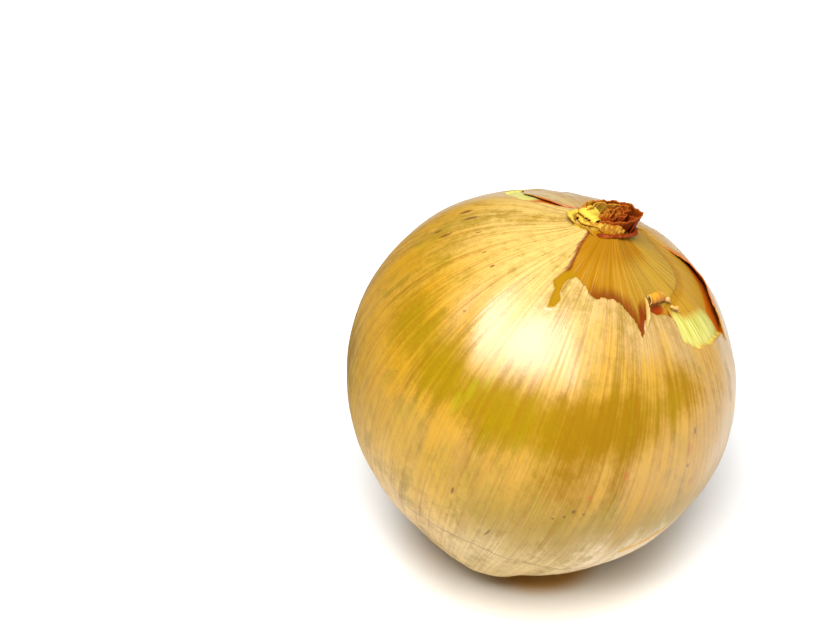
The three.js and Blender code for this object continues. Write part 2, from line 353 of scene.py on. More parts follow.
def unevenAzimuth(azimuth, polar):
    turn = radians(azimuth)
    return azimuth + 0.5 * np.sin(9 * turn) + 0.35 * np.sin(17 * turn + 1) + 0.2 * np.sin(31 * turn + 2) \
        + 0.6 * np.sin(4 * turn + radians(polar) * 1.6)


# Three values for every point, which the paint reads
def addVector(mesh, name, *parts):
    columns = [np.full(len(mesh.vertices), part, float) for part in parts]
    attribute = mesh.attributes.new(name, "FLOAT_VECTOR", "POINT")
    attribute.data.foreach_set("vector", np.stack(columns, -1).astype(np.float32).ravel())


def addAround(mesh, azimuth, along):
    addVector(mesh, "around", np.cos(radians(azimuth)), np.sin(radians(azimuth)), along)


def coordinates(mesh):
    flat = np.empty(len(mesh.vertices) * 3, np.float32)
    mesh.vertices.foreach_get("co", flat)
    return flat.reshape(-1, 3).astype(float)


def setCoordinates(mesh, points):
    mesh.vertices.foreach_set("co", np.ascontiguousarray(points, np.float32).ravel())
    mesh.update()


def hollow(azimuth, polar):  # 1 in the small hollow that the curled skin stands round
    side, level, long, tall = curls["hollow"]
    across = (azimuth - side) * degreeLength * np.sin(radians(level)) / long
    along = (polar - level) * degreeLength / tall
    return np.exp(-((across ** 2 + along ** 2) ** 1.5))


# Where the outer skin is darker: partly the dry skin clinging to the fresh layer under it, partly painted
# shade
# where its shine shows only the dim room: azimuth, polar, how far each way, how much
clingingAndShaded = [(-153, 63, 14, 11, 1), (-132, 68, 14, 10, 1), (-112, 67, 15, 10, 1), (-90, 63, 17, 11, 1),
            (-69, 58, 15, 13, 1.1), (-50, 52, 11, 10, 1), (-88, 82, 24, 10, 0.65), (-22, 58, 14, 12, 0.5),
            (60, 74, 24, 14, 0.8), (118, 86, 26, 12, 0.8), (8, 92, 18, 13, 0.7), (178, 100, 20, 12, 0.7)]


# What the skin's paint reads: where a point is round the bulb, which skin it belongs to, and how it lies
def markSkin(mesh, azimuth, polar, depths):
    addAround(mesh, azimuth, polar / 100)
    addVector(mesh, "skins", depths["window"], depths["fan"], depths["patch"])
    clingShade = 0
    for side, level, wide, tall, strength in clingingAndShaded:
        aside = ((azimuth - side + 180) % 360 - 180) / wide
        clingShade = clingShade + strength * np.exp(-aside ** 2 - ((polar - level) / tall) ** 2)
    addVector(mesh, "lies", depths["underside"], hollow(azimuth, polar), np.clip(clingShade, 0, 1.3))


def nothingSelected():
    bpy.ops.object.select_all(action="DESELECT")


def added(primitive, **settings):
    nothingSelected()
    primitive(**settings)
    return bpy.context.object


def grouped(piece, name, body="root"):
    piece.name = name
    piece.data.name = name
    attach(piece, body)
    return piece


def onWholeMesh(operator, **settings):
    bpy.ops.object.mode_set(mode="EDIT")
    bpy.ops.mesh.select_all(action="SELECT")
    operator(**settings)
    bpy.ops.object.mode_set(mode="OBJECT")


def selectOnly(pieces):
    nothingSelected()
    for piece in pieces:
        piece.select_set(True)
    bpy.context.view_layer.objects.active = pieces[0]


def joined(pieces):
    selectOnly(pieces)
    bpy.ops.object.join()
    return pieces[0]


def placed(name, data):
    holder = bpy.data.objects.new(name, data)
    bpy.context.collection.objects.link(holder)
    return holder


def makeBall(segments, rings):
    piece = added(bpy.ops.mesh.primitive_uv_sphere_add, segments=segments, ring_count=rings, radius=1)
    ball = coordinates(piece.data)
    return piece, ball, np.degrees(np.arctan2(ball[:, 1], ball[:, 0]))


def makeBulb():
    rows = bulb["rows"]
    grid = bpy.ops.mesh.primitive_grid_add
    piece = added(grid, x_subdivisions=bulb["columns"], y_subdivisions=rows, size=2)
    flat = coordinates(piece.data)
    azimuth = 180 * flat[:, 0]
    # Rows lie close together where the skins are torn
    bends, spacing = [0, 5, 53, 180], [1.25, 0.48, 2.0]
    counts = [(b - a) / s for a, b, s in zip(bends, bends[1:], spacing)]
    ends = np.cumsum([0, *counts]) * rows / sum(counts)
    polar = np.interp((1 - flat[:, 1]) / 2 * rows, ends, bends)
    depths = regionDepths(azimuth, polar)
    height = relief(azimuth, polar, depths)
    atPole = (polar < 0.01) | (polar > 179.99)
    place = unevenAzimuth(azimuth, polar)
    setCoordinates(piece.data, toWorld(skinPoint(place, polar, np.where(atPole, 0, height))))
    markSkin(piece.data, azimuth, polar, depths)
    onWholeMesh(bpy.ops.mesh.remove_doubles, threshold=0.0008 * mm)  # closes the seam and the poles
    bpy.ops.object.shade_smooth()
    return piece


# Thin dry sheets: a grid is laid out by a function, then given its thickness

def makeSheet(columns, rows, place, thickness, paints, marks):
    piece = added(bpy.ops.mesh.primitive_grid_add, x_subdivisions=columns, y_subdivisions=rows, size=2)
    flat = coordinates(piece.data)
    across, along = (flat[:, 0] + 1) / 2, (flat[:, 1] + 1) / 2
    points, outward = place(across, along)
    setCoordinates(piece.data, points)
    marks(piece.data, across, along)
    facing = np.empty(len(piece.data.vertices) * 3, np.float32)
    piece.data.vertices.foreach_get("normal", facing)
    if (facing.reshape(-1, 3) * outward).sum() < 0:
        onWholeMesh(bpy.ops.mesh.flip_normals)
    for paint in paints:
        piece.data.materials.append(paint)
    wall = piece.modifiers.new("wall", "SOLIDIFY")
    wall.thickness = thickness * mm
    wall.offset = -1
    wall.material_offset = len(paints) - 1
    bpy.ops.object.modifier_apply(modifier="wall")
    bpy.ops.object.shade_smooth()
    return piece


def away(points):  # outwards from the bulb's middle
    return points - np.array((0, 0, middleHeight)) * mm


# The loose sheet of outer skin on the back shoulder

looseSheet = {
    "columns": 230,
    "rows": 84,
    "levels": (8.6, 57),
    # Edges as (polar, azimuth)
    "rightEdge": [(8, 66), (12, 60), (16, 51), (19.9, 44), (22.3, 36.4), (24.7, 30.4), (26.5, 24.4),
                  (29, 20.6), (32.9, 17.6), (35.5, 13.6), (36.6, 8.4), (38.1, 2.1), (39.9, -3.2),
                  (42.3, -5.2), (45.9, -6.6), (50.1, -7.4), (57, -6)],
    "leftEdge": [(8, 113), (12, 114), (14.5, 118), (17, 128), (20, 132), (24.6, 133), (30, 130.5),
                 (34, 128), (37, 124), (41, 120), (57, 119)],
    "rightLift": 0.95,
    "leftLift": 0.36,
    "thickness": 0.24,
}


def looseSheetPlaces(across, along):
    low, high = looseSheet["levels"]
    polar = low + (high - low) * along
    right = np.interp(polar, *np.array(looseSheet["rightEdge"], float).T)
    left = np.interp(polar, *np.array(looseSheet["leftEdge"], float).T)
    right = right + ragged(polar * 7, polar, 0.5, 61) / np.sin(radians(polar)) * 0.5
    azimuth = right + (left - right) * across
    ring = degreeLength * np.sin(radians(polar))
    return azimuth, polar, (azimuth - right) * ring, (left - azimuth) * ring


def looseSheetPlace(across, along):
    azimuth, polar, fromRight, fromLeft = looseSheetPlaces(across, along)
    rightLift = looseSheet["rightLift"] * np.exp(-((fromRight / 6) ** 1.4)) \
        * step(polar, 25, 35) * step(54 - polar, 1, 13)
    leftLift = looseSheet["leftLift"] * np.exp(-((fromLeft / 5) ** 1.3)) \
        * step(polar, 14.5, 22) * step(36 - polar, 0, 9)
    # It lies in the torn window, passes over the window's far edge and merges with the skin beyond
    lies = -0.28 - 0.35 * step(11 - polar, 0, 2.4)
    lies = lies + 0.33 * step(polar, 36.5, 41.5) - 0.45 * step(polar, 50, 57)
    lies = lies - 0.5 * np.exp(-((fromLeft / 2.2) ** 2)) * step(polar, 40, 43.5)
    pressed = -0.22 * np.exp(-((fromRight / 1.5) ** 2)) * step(30 - polar, 0, 5)
    waves = 0.16 * ripples(azimuth, polar, 9, 24, 62, 0.1) * step(54 - polar, 0, 16) * step(polar, 10, 18)
    height = lies + pressed + rightLift + leftLift + np.maximum(waves, -0.1) * (0.25 + rightLift)
    height = height + veins(azimuth, polar) + pleats(azimuth, polar) + lumps(azimuth, polar)
    points = toWorld(skinPoint(unevenAzimuth(azimuth, polar), polar, height))
    return points, away(points)


def markLooseSheet(mesh, across, along):
    azimuth, polar, fromRight, fromLeft = looseSheetPlaces(across, along)
    nowhere = np.full_like(polar, -9.0)
    markSkin(mesh, azimuth, polar, {"window": -np.minimum(fromRight, fromLeft) - 0.05,
                                    "fan": nowhere, "patch": nowhere, "underside": nowhere})


def alongProfile(profile, share):
    dense = np.linspace(0, 1, 60)
    stops = np.linspace(0, 1, len(profile))
    softened = []
    for values in np.array(profile, float).T:
        line = np.interp(dense, stops, values)
        padded = np.concatenate([2 * line[0] - line[8:0:-1], line, 2 * line[-1] - line[-2:-10:-1]])
        softened.append(np.interp(share, dense, np.convolve(padded, np.ones(17) / 17, "valid")))
    return softened


# In front of the neck the torn skin has rolled up round a small hollow. Each roll runs between two places
# (azimuth, polar); its section is (millimetres towards the neck, millimetres above the skin).

curls = {
    "thickness": 0.18,
    "hollow": (-48.0, 27.0, 1.9, 1.25),  # azimuth, polar, half length and half height in millimetres
    "hollowDepth": 0.9,
    "rolls": {
        "side": {"ends": [(-55.6, 22.8), (-62.8, 31.4)], "wave": 0.12, "pale": 0.6, "open": 0,
                 "section": [(-0.45, -0.1), (-0.42, 0.35), (0.0, 0.75), (0.4, 0.55), (0.5, 0.1)]},
        "top": {"ends": [(-54.5, 25.2), (-41.0, 25.4)], "wave": 0.1, "pale": 0.0, "open": 0.75,
                "section": [(-0.1, -0.2), (-0.3, 0.5), (0.1, 1.15), (1.0, 1.5), (1.9, 1.35), (2.4, 0.8),
                            (2.2, 0.35), (1.6, 0.4)]},
        "corner": {"ends": [(-41.2, 24.6), (-36.6, 26.6)], "wave": 0.3, "pale": 0.6, "open": 0.2,
                   "section": [(-0.35, -0.1), (-0.4, 0.35), (0.0, 0.75), (0.5, 0.6), (0.6, 0.1)]},
        "low": {"ends": [(-57, 111.0), (-41, 101.5)], "wave": 0.2, "pale": 0.45, "open": 0,
                "section": [(-0.7, -0.2), (-0.6, 0.25), (0.1, 0.45), (0.9, 0.25), (1.1, -0.2)]},
        "sliver": {"ends": [(-38.6, 27.8), (-34.0, 30.2)], "wave": 0.25, "pale": 0.5, "open": 0,
                   "section": [(-0.35, -0.1), (-0.3, 0.4), (0.1, 0.6), (0.45, 0.3)]},
    },
}


def rollPlace(roll, across, along):
    (startAzimuth, startPolar), (endAzimuth, endPolar) = roll["ends"]
    azimuth = startAzimuth + (endAzimuth - startAzimuth) * across
    polar = startPolar + (endPolar - startPolar) * across
    ring = np.sin(radians(polar))
    run = np.array([(endAzimuth - startAzimuth) * ring.mean(), startPolar - endPolar])
    aside = np.array([-run[1], run[0]]) / np.linalg.norm(run)  # towards the neck, or left of the roll's run
    aside = aside if aside[1] > 0 or abs(aside[0]) > 0.8 else -aside
    sideways, height = alongProfile(roll["section"], along)
    taper = np.clip(roll["open"] + np.sin(math.pi * across) * (1 - roll["open"]), 0, 1) ** 0.45
    wave = roll["wave"] * (np.sin(9 * across + 2) + 0.5 * np.sin(23 * across + 5 * along)) * (0.3 + along)
    sideways = sideways * taper + wave * 0.5 * along
    height = height * taper + wave * 0.4 * taper - 0.1 * (1 - taper)
    azimuth = azimuth + aside[0] * sideways / degreeLength / ring
    polar = polar - aside[1] * sideways / degreeLength
    points = toWorld(skinPoint(unevenAzimuth(azimuth, polar), polar, height))
    return points, azimuth, polar


def makeCurls():
    made = []
    for roll in curls["rolls"].values():
        def place(across, along, roll=roll):
            points = rollPlace(roll, across, along)[0]
            return points, away(points)

        def marks(mesh, across, along, roll=roll):
            _, azimuth, polar = rollPlace(roll, across, along)
            addAround(mesh, azimuth, polar / 100)
            rim = np.minimum(np.minimum(across, 1 - across) * 6, 1 - along)
            addVector(mesh, "leaf", roll["pale"], along, rim)

        made.append(makeSheet(60, 26, place, curls["thickness"], [curlPaint], marks))
    return joined(made)


# The withered neck: dried leaf bases squeezed together and broken off short. Profiles are (radius, height
# on the bulb's axis). Tone is 0 for golden and 1 for dark red-brown, at the sheet's two ends. A tip is
# (azimuth, how far it reaches out, how far up).

neck = {
    "middle": (-0.8, 0.9),  # from the bulb's axis
    "squash": 0.66,
    "thickness": 0.26,
    "rise": 0.24,  # it stands higher towards one side
    "riseTowards": -13,
    "filling": {"radius": 5.5, "height": 40.9, "halfHeight": 2.6, "tone": 0.8},  # low down between the leaves
    "leaves": {
        "collar": {"turn": (92, 250), "profile": [(6.9, 40.0), (6.8, 41.6), (7.0, 43.0), (7.6, 43.7)],
                   "tone": (0.3, 0.15), "fold": 0.3, "jag": 0.15, "tip": (172, 1.4, 0.4), "seed": 3},
        "back": {"turn": (-28, 172), "profile": [(6.3, 40.4), (6.1, 43), (5.9, 45.3), (5.1, 47.1)],
                 "tone": (0.95, 0.5), "fold": 0.35, "jag": 0.18, "tip": (-15, 1.7, -0.5), "seed": 4},
        "lip": {"turn": (-112, 14),
                "profile": [(6.1, 40.2), (6.0, 41.5), (6.2, 42.4), (6.8, 42.8), (7.2, 42.5), (7.1, 41.9)],
                "tone": (0.8, 1.1), "fold": 0.3, "jag": 0.06, "tip": (-60, 0.3, 0), "seed": 5},
        "band": {"turn": (188, 306), "profile": [(5.9, 40.6), (5.7, 42.6), (5.5, 44.5)],
                 "tone": (0.05, 0.6), "fold": 0.35, "jag": 0.12, "tip": (240, 0.4, 0.3), "seed": 6},
        "second": {"turn": (-128, 34), "profile": [(5.0, 41), (4.8, 43.4), (5.0, 45.1)],
                   "tone": (0.75, 1.0), "fold": 0.45, "jag": 0.12, "tip": (-20, 0.9, 0.4), "seed": 7},
        "third": {"turn": (8, 194), "profile": [(4.9, 41), (4.8, 44), (4.2, 46.6)],
                  "tone": (0.9, 0.0), "fold": 0.4, "jag": 0.15, "tip": (120, 0.3, 0.3), "seed": 8},
        "under": {"turn": (146, 262), "profile": [(2.4, 42.2), (4.4, 43.9), (6.3, 44.2)],
                  "tone": (0.05, 0.4), "fold": 0.2, "jag": 0.08, "tip": (200, 0.6, 0), "seed": 12},
        "lens": {"turn": (126, 236), "profile": [(1.6, 43.2), (3.2, 45.0), (5.0, 45.7), (6.0, 45.3)],
                 "tone": (0.0, 0.15), "fold": 0.2, "jag": 0.06, "tip": (175, 0.6, 0), "seed": 9},
        "fourth": {"turn": (-98, 76), "profile": [(3.8, 41), (3.6, 44), (3.4, 46.2)],
                   "tone": (1.0, 0.8), "fold": 0.4, "jag": 0.15, "tip": (0, 0.4, 0.4), "seed": 10},
        "fifth": {"turn": (-155, 62), "profile": [(2.7, 41), (2.4, 44.2), (2.0, 46.4)],
                  "tone": (0.55, 1.0), "fold": 0.35, "jag": 0.15, "tip": (-40, 0.3, 0.2), "seed": 13},
        "heart": {"turn": (-60, 250), "profile": [(1.3, 41), (1.3, 44.4), (0.9, 46.3)],
                  "tone": (0.9, 0.5), "fold": 0.25, "jag": 0.2, "tip": (90, 0.3, 0.4), "seed": 11},
    },
}


def neckPlace(radius, azimuth, height):
    turn = radians(azimuth)
    return np.stack([radius * np.cos(turn) + neck["middle"][0], radius * np.sin(turn) * neck["squash"]
                     + neck["middle"][1], height + 0 * turn], -1)


def makeLeaf(leaf):
    def shape(across, along):
        start, end = leaf["turn"]
        azimuth = start + (end - start) * across
        side, reach, lift = leaf["tip"]
        nearTip = np.exp(-(((azimuth - side + 180) % 360 - 180) / 16) ** 2)
        jag = leaf["jag"] * (0.6 * ripples(azimuth, 0 * azimuth, 5, 14, leaf["seed"])
                             + 0.4 * ripples(azimuth, 0 * azimuth, 18, 50, leaf["seed"] + 20))
        radius, height = alongProfile(leaf["profile"], np.clip(along * (1 - 0.08 * abs(jag)), 0, 1))
        ends = step(np.minimum(across, 1 - across), 0, 0.12)
        crumple = leaf["fold"] * ripples(azimuth, along * 40, 3, 9, leaf["seed"] + 40, 0.2, 8) \
            + 0.06 * ripples(azimuth, along * 60, 14, 36, leaf["seed"] + 60, 0.2)
        radius = radius + crumple * (0.25 + 0.75 * along) + reach * nearTip * along ** 2
        height = height + jag * along + lift * nearTip * along ** 2 - (1 - ends) * along * 1.1
        height = height + neck["rise"] * radius * np.cos(radians(azimuth - neck["riseTowards"])) * along
        return azimuth, neckPlace(radius, azimuth, height)

    def place(across, along):
        azimuth, points = shape(across, along)
        outward = np.stack([np.cos(radians(azimuth)), np.sin(radians(azimuth)), 0.3 + 0 * azimuth], -1)
        return toWorld(points), outward @ leanTurn.T

    def marks(mesh, across, along):
        addAround(mesh, shape(across, along)[0], along)
        start, end = leaf["tone"]
        addVector(mesh, "leaf", start + (end - start) * across, along, 0)

    return makeSheet(110, 24, place, neck["thickness"], [neckPaint], marks)


def makeNeck():
    leaves = [makeLeaf(leaf) for leaf in neck["leaves"].values()]
    filling = neck["filling"]
    core, ball, azimuth = makeBall(64, 32)
    bumps = 1 + 0.06 * ripples(azimuth, ball[:, 2] * 50, 5, 16, 77, 0.3)
    radius = filling["radius"] * bumps * np.hypot(ball[:, 0], ball[:, 1])
    height = filling["height"] + filling["halfHeight"] * ball[:, 2]
    setCoordinates(core.data, toWorld(neckPlace(radius, azimuth, height)))
    addAround(core.data, azimuth, ball[:, 2])
    addVector(core.data, "leaf", filling["tone"], 0.4, 0)
    core.data.materials.append(neckPaint)
    bpy.ops.object.shade_smooth()
    return joined([core, *leaves])


# The roots: a corky plate with a tuft of dried, curled roots, pressed aside by the table

roots = {
    "count": 190,
    "plateRadius": 5.7,
    "plateThickness": 1.5,
    "length": (4.5, 10.5),
    "thickness": (0.16, 0.34),
    "clearance": 0.35,  # off the table
    "stops": 9,  # points along a root
    "bend": 0.3,  # how much it turns at each
    "outside": 1.012,  # how far out of the bulb it is kept
    "seed": 7,
}


def makeRoots():
    random = np.random.default_rng(roots["seed"])
    plate, ball, azimuth = makeBall(72, 28)
    bumps = 1 + 0.07 * ripples(azimuth, ball[:, 2] * 60, 6, 22, 91, 0.3)
    level = -(bulb["baseDepth"] - bulb["rootDimple"])
    size = (roots["plateRadius"], roots["plateRadius"], roots["plateThickness"])
    setCoordinates(plate.data, toWorld(ball * size * bumps[:, None] + (0, 0, level), roots["clearance"]))
    strands = bpy.data.curves.new("strands", "CURVE")
    strands.dimensions = "3D"
    strands.bevel_depth = mm
    strands.bevel_resolution = 1
    strands.resolution_u = 2
    strands.use_fill_caps = True
    for i in range(roots["count"]):
        out = roots["plateRadius"] * 0.95 * math.sqrt((i + 0.5) / roots["count"])
        turn = i * 2.39996 + 0.3 * random.random()
        spread = 0.3 + 1.0 * out / roots["plateRadius"] + 0.35 * random.random()
        length = random.uniform(*roots["length"])
        thick = random.uniform(*roots["thickness"])
        place = np.array([out * math.cos(turn), out * math.sin(turn), level - 0.5])
        sideways, stops = math.sin(spread), roots["stops"]
        heading = np.array([sideways * math.cos(turn), sideways * math.sin(turn), -math.cos(spread)])
        strand = strands.splines.new("BEZIER")
        strand.bezier_points.add(stops - 1)
        for k in range(stops):
            world = toWorld(place, roots["clearance"] + thick)
            point = strand.bezier_points[k]
            point.co = world
            point.handle_left_type = point.handle_right_type = "AUTO"
            point.radius = thick * (1 - 0.65 * k / (stops - 1))
            heading = heading + random.normal(0, roots["bend"], 3)
            heading[2] = min(heading[2], 0.35)
            heading = heading / np.linalg.norm(heading)
            place = (world / mm - (0, 0, middleHeight)) @ leanTurn + heading * length / (stops - 1)
            # Kept outside the bulb
            radius = bulb["equatorRadius"]
            share = np.linalg.norm(place / (radius, radius, bulb["baseDepth"]))
            ring = math.hypot(place[0], place[1])
            if share < roots["outside"] and ring > roots["plateRadius"]:
                place = place * roots["outside"] / share
    holder = placed("strands", strands)
    selectOnly([holder])
    bpy.ops.object.convert(target="MESH")
    plate = joined([plate, holder])
    plate.data.materials.clear()
    plate.data.materials.append(rootPaint)
    bpy.ops.object.shade_smooth()
    return plate


# Paints

skinLook = {
    "gold": (0.42, 0.22, 0.003),
    "clingShade": (0.235, 0.12, 0.0),
    "peach": (0.48, 0.26, 0.028),
    "thin": (0.42, 0.265, 0.075),
    "top": (0.58, 0.41, 0.12),
    "beige": (0.31, 0.195, 0.012),
    "bottom": (0.57, 0.41, 0.155),
    "pale": (0.72, 0.57, 0.37),
    "warmLow": (0.60, 0.33, 0.03),
    "olive": (0.27, 0.185, 0.0005),
    "vein": (0.25, 0.09, 0.002),
    "paleVein": (0.54, 0.36, 0.075),
    "shade": (0.18, 0.085, 0.002),
    "fan": (0.30, 0.13, 0.0),
    "fanTop": (0.27, 0.115, 0.0),
    "fanRight": (0.35, 0.21, 0.02),
    "fanEdge": (0.16, 0.036, 0.0),
    "tan": (0.39, 0.205, 0.012),
    "fresh": (0.53, 0.50, 0.13),
    "green": (0.29, 0.29, 0.001),
    "tongue": (0.27, 0.135, 0.0),
    "seam": (0.18, 0.09, 0.012),
    "brown": (0.13, 0.05, 0.006),
    "red": (0.36, 0.08, 0.004),
    "inside": (0.44, 0.09, 0.003),
    # deep is painted shadow, for the gaps beside the curled skin and along the crack; hollow is the dark red
    # of the skin beneath with painted shade over it
    "deep": (0.15, 0.02, 0.0),
    "hollow": (0.23, 0.03, 0.0),
    "roughness": 0.48,
    "shine": 0.08,
    "waxRoughness": 0.36,
    "waxIndex": 1.58,
}

# Small marks, each (azimuth, polar, half width, half height) in degrees and its slant
markings = {
    "brown": [(172.3, 47, 1.0, 2.4, 0), (163.9, 40.1, 1.3, 3.0, 0.3), (178.7, 36.3, 0.6, 1.0, 0),
              (157.7, 43.2, 1.1, 2.4, 0.3), (168, 50, 0.7, 1.6, 0), (-165.3, 35.8, 0.5, 0.8, 0),
              (-154.2, 35.8, 0.6, 0.9, 0), (-116.9, 98.4, 0.5, 1.4, 0), (-82.8, 90.5, 0.7, 0.7, 0),
              (-79.5, 91, 0.5, 0.5, 0), (-84.5, 93, 0.5, 0.5, 0), (-86.9, 94.5, 0.4, 0.4, 0),
              (-45.2, 64.9, 0.7, 1.3, 0), (-47, 76, 0.5, 0.8, 0), (-46, 103.6, 2.0, 0.7, -1.2),
              (-103.5, 108.5, 0.6, 2.0, -1.0)],
    "red": [(-80.2, 84.6, 1.2, 1.0, 0), (-44, 82.5, 1.0, 1.6, 0), (-71, 76, 0.8, 2.0, 0),
            (-47.5, 70, 0.8, 2.5, 0)],
    "green": [(-118.8, 37.6, 0.6, 4.5, 0), (-121, 57, 1.2, 8, 0.25), (-123.6, 66, 1.3, 4.5, 0),
              (-126, 72, 1.5, 4, 0.2)],
    # deep: painted shadows in the gaps beside the curled skin
    "deep": [(-64.6, 28.6, 2.3, 5.0, -1.1), (-41, 30.5, 1.0, 2.6, -0.5)],
}


def makeSkinPaint():
    paint = newPaint("onionSkin")
    around = paint.attribute("around")
    window, fan, patch = paint.split(paint.attribute("skins"))
    under, inHollow, clingShade = paint.split(paint.attribute("lies"))
    cosine, sine, polar = paint.split(around)
    turn = sine.maths("ARCTAN2", sine, cosine)
    place = paint.place()
    noises = {
        "hairs": paint.noise(paint.scaled(around, (120, 120, 3)), detail=3, roughness=0.6),
        "streaks": paint.noise(paint.scaled(around, (46, 46, 2)), detail=4, roughness=0.65),
        "bands": paint.noise(paint.scaled(around, (13, 13, 1.2)), detail=3, roughness=0.6),
        "broad": paint.noise(paint.scaled(around, (3.2, 3.2, 2.6)), detail=3),
        "mottle": paint.noise(paint.scaled(place, (1, 1, 0.6)), 420, detail=4, roughness=0.75),
        "grain": paint.noise(place, 1700, detail=3, roughness=0.75),
    }
    hairs, streaks, mottle, grain = (noises[name] for name in ("hairs", "streaks", "mottle", "grain"))
    blotch = paint.noise(place, 85, detail=4, roughness=0.65)
    speckle = paint.noise(place, 700, detail=1)

    def uneven(value, **amounts):  # adds noises, each by its own amount
        for name, amount in amounts.items():
            value = value + (noises[name] - 0.5) * amount
        return value

    def over(below, name, share):  # one of the skin's colours laid over what is below
        return paint.mix(below, skinLook[name], share)

    def between(start, end, soft=3):  # 1 between two azimuths
        return turn.rise(math.radians(start), math.radians(start + soft)) \
            * turn.rise(math.radians(end + soft), math.radians(end))

    def marked(kind):
        total = None
        for side, level, wide, tall, slant in markings[kind]:
            along = (polar - level / 100) * (100 / tall)
            across = (turn - math.radians(side)) * (math.degrees(1) / wide) - along * slant
            across = uneven(across, mottle=1.6)
            spot = (across * across + along * along).rise(1.4, 0.1)
            total = spot if total is None else total.maths("MAXIMUM", total, spot)
        return total

    # The outer skin: darker where it clings, partly painted shade; pale and beige low down, partly painted
    # reflection of the pale table; with lines that run from neck to roots
    golden = uneven(noises["broad"], bands=0.7).rise(0.42, 0.7) * 0.75
    loose = paint.mix(skinLook["gold"], skinLook["peach"], golden)
    loose = over(loose, "beige", uneven(polar, broad=0.3, bands=0.3).rise(0.76, 1.02))
    # Paler low down: partly the skin's own colour, partly painted reflection of the pale table
    loose = over(loose, "bottom", uneven(polar, bands=0.3).rise(0.98, 1.25))
    loose = over(loose, "pale", uneven(polar, bands=0.4).rise(0.95, 1.15) * between(-78, -8, 16) * 0.85)
    # Warmer orange at the lower left: partly the skin's own colour, partly painted warm reflected light
    lowLeft = uneven(polar, bands=0.3).rise(0.86, 1.05) * between(-178, -122, 18)
    loose = over(loose, "warmLow", lowLeft * 0.55)
    loose = over(loose, "thin", uneven(window, streaks=12).rise(-9, -2.5) * between(-128, -44, 10))
    loose = over(loose, "top", uneven(polar, broad=0.3).rise(0.58, 0.22) * turn.size().rise(1.2, 2.4) * 0.85)
    # Darker ochre band: partly the skin clinging to the layer under it, partly painted shade
    clingShadeShare = uneven(clingShade * 0.8, broad=1.1, bands=1.2, streaks=0.9, mottle=0.7).rise(0.05, 0.95)
    outer = over(loose, "clingShade", clingShadeShare)
    outer = over(outer, "olive", uneven(blotch, mottle=0.7, bands=0.7).rise(0.48, 0.74) * 0.6)
    outer = over(outer, "olive", clingShadeShare * between(-178, -112, 24) * 0.55)
    rightBand = polar.rise(0.42, 0.54) * polar.rise(0.86, 0.7) * between(-64, -14, 14)
    outer = over(outer, "gold", rightBand * (1 - clingShadeShare * 0.6) * 0.5)
    paleLines = hairs.rise(0.52, 0.72) * (0.1 + streaks.rise(0.48, 0.68) * 0.45)
    outer = over(outer, "paleVein", paleLines * (1 - clingShadeShare * 0.95))
    outer = over(outer, "shade", uneven(0.13, streaks=0.9, mottle=0.9, grain=0.6, bands=0.5).clamped())
    darkLines = hairs.rise(0.47, 0.32) * (0.3 + polar.rise(0.6, 0.25) * 0.55)
    outer = over(outer, "vein", (darkLines + streaks.rise(0.46, 0.6) * 0.167).clamped())

    # The skins that show where it is torn
    lower = paint.mix(skinLook["tan"], skinLook["fresh"], uneven(patch, streaks=3.5).rise(-0.9, 1.8))
    greenish = streaks.rise(0.46, 0.6) * patch.rise(0.0, 1.0) * polar.rise(0.425, 0.37)
    lower = over(lower, "green", greenish * 0.7)
    lower = over(lower, "fan", uneven(fan, bands=2).rise(-3.2, -1.4) * 0.7)
    rightwards = uneven(turn, bands=1.6).rise(math.radians(-100), math.radians(-35))
    second = paint.mix(skinLook["fan"], skinLook["fanRight"], rightwards * 0.85)
    second = over(second, "fanTop", uneven(polar, bands=0.1).rise(0.16, 0.09) * between(-140, -20, 12))
    second = over(second, "thin", streaks.rise(0.5, 0.72) * polar.rise(0.1, 0.16) * 0.55)
    # Darker towards the window's lower edge: the fan's own deeper colour there, with painted shade under the
    # torn outer skin's edge
    second = over(second, "fanEdge", uneven(window, streaks=3).rise(4.0, 0.5) * between(-104, -54, 8))
    inner = paint.mix(lower, second, fan.rise(-0.05, 0.1))
    inner = over(inner, "brown", hairs.rise(0.49, 0.32) * 0.55 + 0.014)
    inner = over(inner, "tongue", between(-135, -115) * polar.rise(0.185, 0.205))
    slit = paint.mix(skinLook["inside"], skinLook["fresh"], polar.rise(0.235, 0.27))
    inner = paint.mix(inner, slit, turn.rise(math.radians(108), math.radians(112)))
    # Beside the loose sheet's near edge, which slants across the bulb
    underRim = (turn * math.degrees(1) + polar * 450 - 171).rise(-6, -1)
    inner = over(inner, "inside", underRim * polar.rise(0.26, 0.3) * between(-10, 60))

    bare = window.rise(-0.02, 0.06)
    colour = paint.mix(outer, inner, bare)
    # Painted shadow in dark red along the old crack beside the neck, under its torn edge; and the dark red of
    # the inner skin on the loose sheet's rims
    crackShadow = uneven(window.size(), mottle=0.3).rise(0.6, 0.2) * between(-179, -119) * polar.rise(0.215, 0.195)
    rim = uneven(window, mottle=0.5).rise(-1.3, -0.7) * (1 - bare) * between(-9, 40)
    rim = rim * polar.rise(0.235, 0.27) * polar.rise(0.45, 0.38)
    slitRim = uneven(window, mottle=0.3).rise(-0.8, -0.35) * between(114, 150) * polar.rise(0.29, 0.25)
    colour = over(colour, "inside", (rim + slitRim).clamped() * 0.9)
    colour = over(colour, "deep", crackShadow * 0.8)
    seam = uneven(under.size(), mottle=0.4).rise(0.3, 0.08) * between(-140, -36, 12) * polar.rise(1.31, 1.26)
    colour = over(colour, "seam", seam * 0.85)
    # The deep marks are painted shadows in the gaps beside the curled skin; brown, green and red are the
    # skin's own marks
    for kind, strength in {"deep": 0.9, "green": 0.3, "brown": 0.85, "red": 0.5}.items():
        colour = over(colour, kind, marked(kind) * strength)
    colour = over(colour, "brown", speckle.rise(0.77, 0.82) * 0.55)
